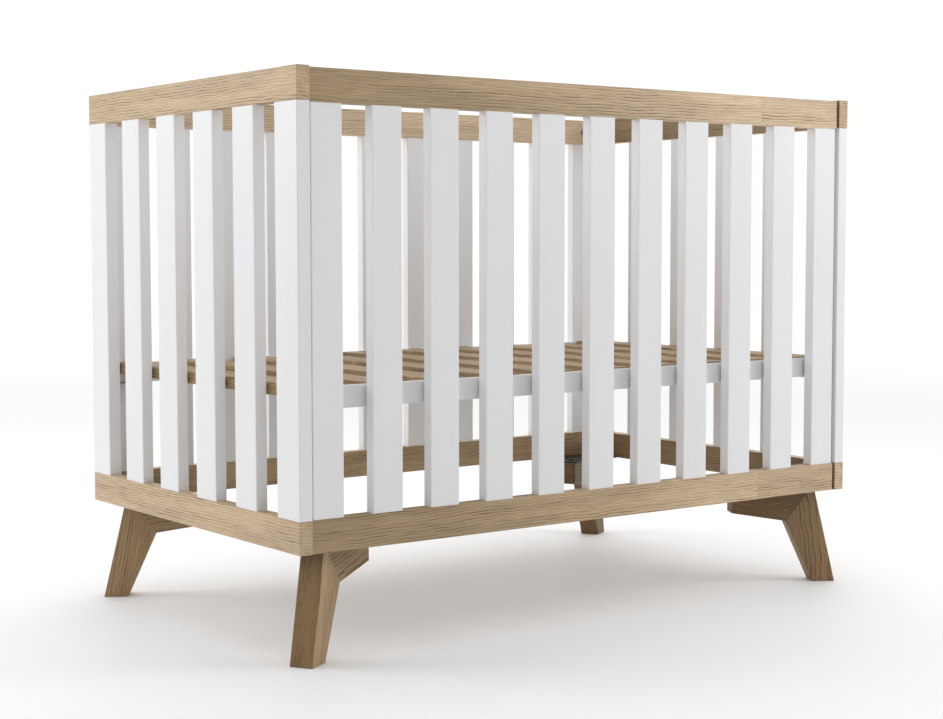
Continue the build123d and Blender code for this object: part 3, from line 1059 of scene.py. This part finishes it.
# ---------------------------------------------------------------- sub-assemblies
@dataclass
class Panels:
    """The two end panels and the two side panels.

    Attributes:
        oak: The rails' wood.
        paint: The uprights' paint.
        stave_at: Where the front rails' glued joint is, over their length.
        front_tones: Tone of the front rails at their left and right ends; the rise from left to right is
            partly the wood's own tone and partly painted light.
        back_inner_painted_shade: Tone of the back bottom rail's inner face, which is painted shade.
        right_inner_painted_shade: Tone of the right end rails' inner faces, which is painted shade.
        tones: Tone of each rail that is darker or lighter than the others, as painted light and shade.
        end_log: Place in the log of the first end rail, step to the next panel and step to the next rail.
        side_log: The same for the side rails.
        end_slats: How many slats an end panel has.
        side_slats: How many slats a side panel has.
    """

    oak: Oak = field(default_factory=Oak)
    paint: Paint = field(default_factory=Paint)
    stave_at: float = 0.826
    front_tones: tuple[float, float] = (0.70, 1.19)
    back_inner_painted_shade: float = 0.70
    right_inner_painted_shade: float = 0.50
    # Painted light and shade per rail: the back top rail lighter, the left end top rail and the front bottom
    # rail darker.
    tones: dict[str, float] = field(default_factory=lambda: {
        "left_end_top_rail": 0.92, "front_bottom_rail": 0.94, "back_top_rail": 1.18})
    end_log: Triple = (2.3, 5.1, 1.9)
    side_log: Triple = (11.7, 7.3, 2.7)
    end_slats: int = 4
    side_slats: int = 11

    def rails(self) -> list[tuple[str, Grain, float]]:
        """List the rails.

        Returns:
            Each rail's node, its grain and its place in the log.
        """
        found = []
        for panels, grain, log_places in ((("left_end", "right_end"), Grain.CROSSWISE, self.end_log),
                                          (("front", "back"), Grain.LENGTHWISE, self.side_log)):
            start, per_panel, per_rail = log_places
            for number, panel in enumerate(panels):
                for step, level in enumerate(("bottom", "top")):
                    seed = start + per_panel * number + per_rail * step
                    found.append((f"{panel}_{level}_rail", grain, seed))
        return found

    def painted(self) -> list[str]:
        """List the painted uprights.

        Returns:
            Their nodes.
        """
        names = []
        for end in ("left", "right"):
            names += [f"{end}_end_post_{side}" for side in ("front", "back")]
            names += [f"{end}_end_slat_{number}" for number in range(1, self.end_slats + 1)]
        for side in ("front", "back"):
            names += [f"{side}_slat_{number:02d}" for number in range(1, self.side_slats + 1)]
        return names

    def board(self, node: str, grain: Grain, seed: float) -> Board:
        """Say how a rail's board was cut.

        Args:
            node: The rail's node.
            grain: Which way its grain runs.
            seed: Its place in the log.

        Returns:
            The board.
        """
        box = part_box(node)
        length = box[1].x - box[0].x
        staves = painted_shade_side = None
        if node.startswith("front"):
            staves = Staves(length * (self.stave_at - 0.5), length / 2, self.front_tones)
        # Painted shade on the inner faces of the right end rails and of the back bottom rail.
        elif node.startswith("right"):
            painted_shade_side = (-ALONG, self.right_inner_painted_shade)
        elif node == "back_bottom_rail":
            painted_shade_side = (-ACROSS, self.back_inner_painted_shade)
        return Board(middle_of(box), grain.run, grain.across, seed, staves=staves, painted_shade_side=painted_shade_side)

    def dress(self) -> None:
        """Give the rails their oak and the uprights their paint."""
        for node, grain, seed in self.rails():
            oak = self.oak.toned(self.tones.get(node, 1.0))
            coat(node, oak.dress(f"oak_{node}", self.board(node, grain, seed)))
        white = self.paint.dress("white_paint")
        for node in self.painted():
            coat(node, white)
        log.info("panels: %d rails and %d uprights dressed", len(self.rails()), len(self.painted()))


@dataclass
class Legs:
    """The legs, their brackets, plates, bolts and screws.

    Attributes:
        oak: The wood of legs and brackets, darker than the rails' oak: partly a darker wood, partly painted
            shade under the crib.
        steel: The finish of plates, bolts and screws, made dark as painted shade under the rails.
        leg_edge_painted_shade: Tone of the legs' outer edges, which is painted shade.
        leg_painted_light_tones: Tone of each leg, in the order of the corners, as painted light and shade.
        bracket_painted_light_tones: Tone of each bracket, as painted light and shade.
        lean: The legs' lean inwards, in degrees.
        bracket_rise: The brackets' rise inwards, in degrees.
        leg_log: Place in the log of the first leg, and step to the next.
        bracket_log: The same for the brackets.
        bolt: The bolts' pattern.
        screw: The screws' pattern.
    """

    # Darker than the rails' oak: partly a darker wood, partly painted shade under the crib.
    oak: Oak = field(default_factory=lambda: Oak(pale=(0.455, 0.306, 0.156), brown=(0.335, 0.211, 0.097),
                                                 pore=(0.120, 0.066, 0.027), heart=(0.040, 0.06),
                                                 ring=0.0040, sway=0.9))
    # The plates, bolts and screws are dark as painted shade under the rails.
    steel: Metal = field(default_factory=lambda: Metal(colour=(0.115, 0.108, 0.100), roughness=0.50))
    # Painted shade on the legs' outer edges, and painted light and shade per corner: the left legs and
    # brackets lighter, the right ones darker.
    leg_edge_painted_shade: float = 0.56
    leg_painted_light_tones: tuple[float, ...] = (1.28, 1.13, 0.82, 0.54)
    bracket_painted_light_tones: tuple[float, ...] = (0.94, 1.10, 0.48, 0.46)
    lean: float = 9.5
    bracket_rise: float = 8.9
    leg_log: tuple[float, float] = (31.0, 3.7)
    bracket_log: tuple[float, float] = (57.0, 4.3)
    bolt: ButtonBolt = field(default_factory=lambda: ButtonBolt(
        shank=0.004, hex_across=0.005, hex_depth=0.0024, rounding=0.62, tip=0.0006))
    screw: CrossScrew = field(default_factory=CrossScrew)

    def corners(self) -> list[str]:
        """Names of the four corners."""
        return [f"{side}_{end}" for end in ("left", "right") for side in ("front", "back")]

    def dress(self) -> None:
        """Give legs and brackets their oak, with the grain along each, and the plates their plating."""
        lean, rise = math.radians(self.lean), math.radians(self.bracket_rise)
        for number, corner in enumerate(self.corners()):
            leg, bracket = f"leg_{corner}", f"leg_bracket_{corner}"
            foot, knee = middle_of(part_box(leg)), middle_of(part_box(bracket))
            inward = Vector((knee.x - foot.x, knee.y - foot.y, 0)).normalized()
            # Each leg's outer edge gets painted shade.
            upright_board = Board(foot, UP * math.cos(lean) + inward * math.sin(lean), inward,
                                  self.leg_log[0] + self.leg_log[1] * number,
                                  painted_shade_side=(-inward, self.leg_edge_painted_shade))
            level_board = Board(knee, inward * math.cos(rise) + UP * math.sin(rise), UP,
                                self.bracket_log[0] + self.bracket_log[1] * number)
            coat(leg, self.oak.toned(self.leg_painted_light_tones[number]).dress(f"oak_{leg}", upright_board))
            coat(bracket, self.oak.toned(self.bracket_painted_light_tones[number]).dress(f"oak_{bracket}", level_board))
        coat("leg_plates", self.steel.dress("zinc_leg_plates"))
        log.info("legs: %d corners dressed", len(self.corners()))

    def bolts(self) -> None:
        """Model the bolts that hold legs and brackets to the plates."""
        steel = self.steel.dress("zinc_leg_bolts")
        finished = []
        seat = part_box("leg_plates")[1].z
        for low, high in solids_of("leg_bolts"):
            bolt = self.bolt.model((high.x - low.x) / 2, high.z - seat, seat - low.z)
            bolt.data.transform(upright(Vector(((low.x + high.x) / 2, (low.y + high.y) / 2, seat)), UP))
            finished.append(bolt)
        finish_metal(join(finished, "leg_bolt_set"), steel, "leg_bolts")

    def screws(self) -> None:
        """Model the countersunk screws that hold the plates to the rails."""
        boxes = solids_of("plate_screws")
        low, high = boxes[0]
        pattern = self.screw.model((high.x - low.x) / 2, high.z - low.z)
        places = [upright(Vector(((low.x + high.x) / 2, (low.y + high.y) / 2, low.z)), -UP)
                  for low, high in boxes]
        screws = set_out(pattern, places, "plate_screw_set")
        finish_metal(screws, self.steel.dress("zinc_plate_screws"), "plate_screws")


@dataclass
class PanelFittings:
    """The cam locks in the side rails, with their pins, and the hidden dowels.

    Attributes:
        cast: The finish of cams and pins.
        beech: The dowels' wood.
        dowel_log: The dowels' place in their log.
        cam: The cams' pattern.
        pin_limit: Height of a solid above which it is a cam and not a pin.
        pin_tip: Width of the rounding at a pin's end.
        pin_sides: Sides of a pin.
    """

    cast: Metal = field(default_factory=lambda: Metal(
        colour=(0.50, 0.50, 0.51), roughness=0.42, mottle=220.0))
    beech: Oak = field(default_factory=lambda: Oak(pale=(0.72, 0.56, 0.38), brown=(0.64, 0.47, 0.30)))
    dowel_log: float = 3.0
    cam: CamLock = field(default_factory=CamLock)
    pin_limit: float = 0.010
    pin_tip: float = 0.0006
    pin_sides: int = 24

    def dress(self) -> None:
        """Give the dowels their wood."""
        coat("dowels", self.beech.dress("beech_dowels", Board(Vector((0, 0, 0)), ALONG, UP, self.dowel_log)))

    def cams(self) -> None:
        """Model the cams and their pins."""
        finished = []
        for low, high in solids_of("cam_fittings"):
            middle = middle_of((low, high))
            if high.z - low.z > self.pin_limit:
                side = 1.0 if middle.y > 0 else -1.0
                face = low.y if side > 0 else high.y
                piece = self.cam.model((high.z - low.z) / 2, high.y - low.y)
                piece.data.transform(upright(Vector((middle.x, face, middle.z)), -side * ACROSS))
            else:
                half, radius = (high.x - low.x) / 2, (high.z - low.z) / 2
                piece = rod(radius, -half, half, self.pin_sides)
                ease_rim(piece, half, radius, self.pin_tip, 2)
                piece.data.transform(upright(middle, ALONG))
            finished.append(piece)
        cams = join(finished, "cam_lock_set")
        finish_metal(cams, self.cast.dress("cast_zinc"), "cam_fittings")


@dataclass
class MattressBase:
    """The base that lifts out, and the steel supports that it lies on.

    Attributes:
        oak: The slats' wood.
        paint: The base rails' paint, greyer than the slats' white as painted shade.
        steel: The finish of supports and bolts.
        slat_log: Place in the log of the row of slats.
        bolt: The bolts' pattern.
        head_height: Height of a bolt's head over its radius.
    """

    oak: Oak = field(default_factory=lambda: Oak(pale=(0.500, 0.350, 0.180), brown=(0.300, 0.190, 0.090)))
    # The base rails' grey stands in for the shade inside the crib: painted shade.
    paint: Paint = field(default_factory=lambda: Paint(colour=(0.760, 0.760, 0.764)))
    steel: Metal = field(default_factory=Metal)
    slat_log: float = 71.0
    bolt: ButtonBolt = field(default_factory=lambda: ButtonBolt(
        shank=0.003, hex_across=0.004, hex_depth=0.002, rounding=0.60))
    head_height: float = 2 / 3

    def dress(self) -> None:
        """Give the slats their oak, the base rails their paint and the supports their plating."""
        boxes = solids_of("base_slats")
        pitch = (boxes[-1][0].x - boxes[0][0].x) / (len(boxes) - 1)
        log.info("base slats: %d at a pitch of %.4f m", len(boxes), pitch)
        row = Board(middle_of(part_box("base_slats")), ACROSS, ALONG, self.slat_log, repeat=(ALONG, pitch))
        coat("base_slats", self.oak.dress("oak_base_slats", row))
        white = self.paint.dress("white_base_rails")
        for side in ("front", "back"):
            coat(f"base_side_rail_{side}", white)
        coat("base_supports", self.steel.dress("zinc_base_supports"))

    def support_bolts(self) -> None:
        """Model the bolts that hold the supports to the posts."""
        steel = self.steel.dress("zinc_support_bolts")
        finished = []
        for low, high in solids_of("support_bolts"):
            outward = 1.0 if low.x > 0 else -1.0
            head_x = low.x if outward > 0 else high.x
            radius = (high.y - low.y) / 2
            height = radius * self.head_height
            bolt = self.bolt.model(radius, height, high.x - low.x - height)
            spot = Vector((head_x + outward * height, (low.y + high.y) / 2, (low.z + high.z) / 2))
            bolt.data.transform(upright(spot, -outward * ALONG))
            finished.append(bolt)
        finish_metal(join(finished, "support_bolt_set"), steel, "support_bolts")


# ---------------------------------------------------------------- studio
@dataclass
class Lamp:
    """One soft box.

    Attributes:
        name: Its name.
        place: Where it hangs.
        target: What it is aimed at.
        size: Its width and height.
        watts: Its power.
    """

    name: str
    place: Triple
    target: Triple
    size: tuple[float, float]
    watts: float

    def build(self) -> bpy.types.Object:
        """Hang the lamp.

        Returns:
            The lamp's object.
        """
        light = bpy.data.lights.new(self.name, "AREA")
        light.shape = "RECTANGLE"
        light.size, light.size_y = self.size
        light.energy = self.watts
        lamp = bpy.data.objects.new(self.name, light)
        bpy.context.scene.collection.objects.link(lamp)
        lamp.location = self.place
        aim = Vector(self.target) - Vector(self.place)
        lamp.rotation_euler = aim.to_track_quat("-Z", "Y").to_euler()
        return lamp


@dataclass
class Studio:
    """White floor, surroundings that are bright behind and dim in front, and soft boxes.

    Attributes:
        floor_size: Width of the floor.
        floor_white: Its colour.
        floor_roughness: Its roughness.
        floor_specular: How strongly it mirrors.
        cove: From where to where the floor turns into the surroundings.
        away: Direction in which the surroundings are brightest.
        turn: From where to where they brighten, as parts of that direction.
        bright: Their strength behind the crib.
        dim: Their strength in front of it.
        pale: Least strength in which they are seen, whatever they light.
        overhead: What they gain overhead.
        rise: From where to where they gain it, as heights on the unit sphere.
        lamps: The soft boxes.
    """

    floor_size: float = 60.0
    floor_white: RGB = (0.932, 0.938, 0.942)
    floor_roughness: float = 0.6
    floor_specular: float = 0.2
    cove: tuple[float, float] = (2.6, 8.0)
    away: Triple = (0.595, 0.804, 0.0)
    turn: tuple[float, float] = (0.15, 0.85)
    bright: float = 1.04
    dim: float = 0.05
    pale: float = 0.84
    overhead: float = 0.82
    rise: tuple[float, float] = (0.12, 0.75)
    lamps: list[Lamp] = field(default_factory=lambda: [
        Lamp("left_box", (-3.4, 2.6, 1.9), (-0.6, 0.0, 0.5), (2.4, 2.0), 65.0),
        Lamp("right_box", (2.4, -2.0, 1.6), (0.7, 0.0, 0.6), (1.4, 1.6), 29.0),
    ])

    def level(self, bench: Bench, facing: bpy.types.NodeSocket) -> bpy.types.NodeSocket:
        """How bright the surroundings are in a direction.

        Args:
            bench: Where the nodes go.
            facing: The direction, one unit long.

        Returns:
            The strength.
        """
        return bench.ease(bench.dot(facing, self.away), *self.turn, self.dim, self.bright)

    def floor(self) -> None:
        """Lay the floor, which runs into the surroundings far from the crib."""
        clear_selection()
        bpy.ops.mesh.primitive_plane_add(size=self.floor_size, location=(0, 0, 0))
        floor = bpy.context.object
        floor.name = "studio_floor"
        material = bpy.data.materials.new("studio_floor")
        material.use_nodes = True
        bench = Bench(material.node_tree)
        out = bench.add("ShaderNodeOutputMaterial")
        shader = bench.add("ShaderNodeBsdfPrincipled")
        shader.inputs["Base Color"].default_value = (*self.floor_white, 1.0)
        shader.inputs["Roughness"].default_value = self.floor_roughness
        shader.inputs["Specular IOR Level"].default_value = self.floor_specular
        glow = bench.add("ShaderNodeEmission")
        spot = bench.coordinates("Object")
        level = self.level(bench, bench.vector("NORMALIZE", spot))
        bench.feed(glow.inputs["Strength"], bench.math("MAXIMUM", level, self.pale))
        blend = bench.add("ShaderNodeMixShader")
        reach = bench.vector("LENGTH", spot, out="Value")
        bench.feed(blend.inputs[0], bench.ease(reach, *self.cove))
        bench.feed(blend.inputs[1], shader.outputs[0])
        bench.feed(blend.inputs[2], glow.outputs[0])
        bench.feed(out.inputs["Surface"], blend.outputs[0])
        floor.data.materials.append(material)

    def surroundings(self) -> None:
        """Set the light that comes from all round, and what is seen behind the floor."""
        world = bpy.data.worlds.new("studio")
        bpy.context.scene.world = world
        world.use_nodes = True
        bench = Bench(world.node_tree)
        out = bench.add("ShaderNodeOutputWorld")
        glow = bench.add("ShaderNodeBackground")
        bench.feed(out.inputs[0], glow.outputs[0])
        bench.feed(glow.inputs["Color"], (1.0, 1.0, 1.0))
        facing = bench.coordinates("Generated")
        above = bench.ease(bench.parts(facing)[2], *self.rise, 0.0, self.overhead)
        lit = bench.math("ADD", self.level(bench, facing), above)
        seen = bench.add("ShaderNodeLightPath").outputs["Is Camera Ray"]
        shown = bench.math("MULTIPLY", seen, self.pale)
        bench.feed(glow.inputs["Strength"], bench.math("MAXIMUM", lit, shown))

    def build(self) -> None:
        """Lay the floor and set all the lights."""
        self.floor()
        self.surroundings()
        for lamp in self.lamps:
            lamp.build()
        bpy.context.scene.view_settings.view_transform = "Standard"
        log.info("studio: floor, surroundings and %d soft boxes", len(self.lamps))


@dataclass
class Viewpoint:
    """Where the picture is taken from.

    Attributes:
        place: The camera's place.
        yaw: Its turn from +Y towards +X, in degrees.
        pitch: Its tilt down, in degrees.
        roll: Its roll, in degrees.
        lens: Its focal length, in millimetres.
        sensor: Its sensor's width, in millimetres.
        clip: The nearest and the farthest distance that it sees.
    """

    place: Triple = (-2.03914, -2.74074, 0.67892)
    yaw: float = 36.501
    pitch: float = 3.924
    roll: float = -0.062
    lens: float = 67.54
    sensor: float = 36.0
    clip: tuple[float, float] = (0.05, 200.0)

    def build(self) -> bpy.types.Object:
        """Set up the camera.

        Returns:
            The camera's object.
        """
        camera = bpy.data.cameras.new("camera")
        camera.sensor_width = self.sensor
        camera.lens = self.lens
        camera.clip_start, camera.clip_end = self.clip
        eye = bpy.data.objects.new("camera", camera)
        bpy.context.scene.collection.objects.link(eye)
        yaw, pitch, roll = (math.radians(angle) for angle in (self.yaw, self.pitch, self.roll))
        ahead = Vector((math.sin(yaw) * math.cos(pitch), math.cos(yaw) * math.cos(pitch), -math.sin(pitch)))
        right = Vector((math.cos(yaw), -math.sin(yaw), 0))
        up = right.cross(ahead)
        tilted = right * math.cos(roll) + up * math.sin(roll)
        up = tilted.cross(ahead)
        turn = Matrix((tilted, up, -ahead)).transposed()
        eye.matrix_world = Matrix.Translation(self.place) @ turn.to_4x4()
        bpy.context.scene.camera = eye
        return eye


def main() -> None:
    """Build the crib's looks, its studio and its camera."""
    logging.basicConfig(level=logging.INFO, format="%(name)s: %(message)s")
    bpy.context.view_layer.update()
    panels = Panels()
    panels.dress()
    legs = Legs()
    legs.dress()
    legs.bolts()
    legs.screws()
    fittings = PanelFittings()
    fittings.dress()
    fittings.cams()
    base = MattressBase()
    base.dress()
    base.support_bolts()
    Studio().build()
    Viewpoint().build()


if __name__ == "__main__":
    main()
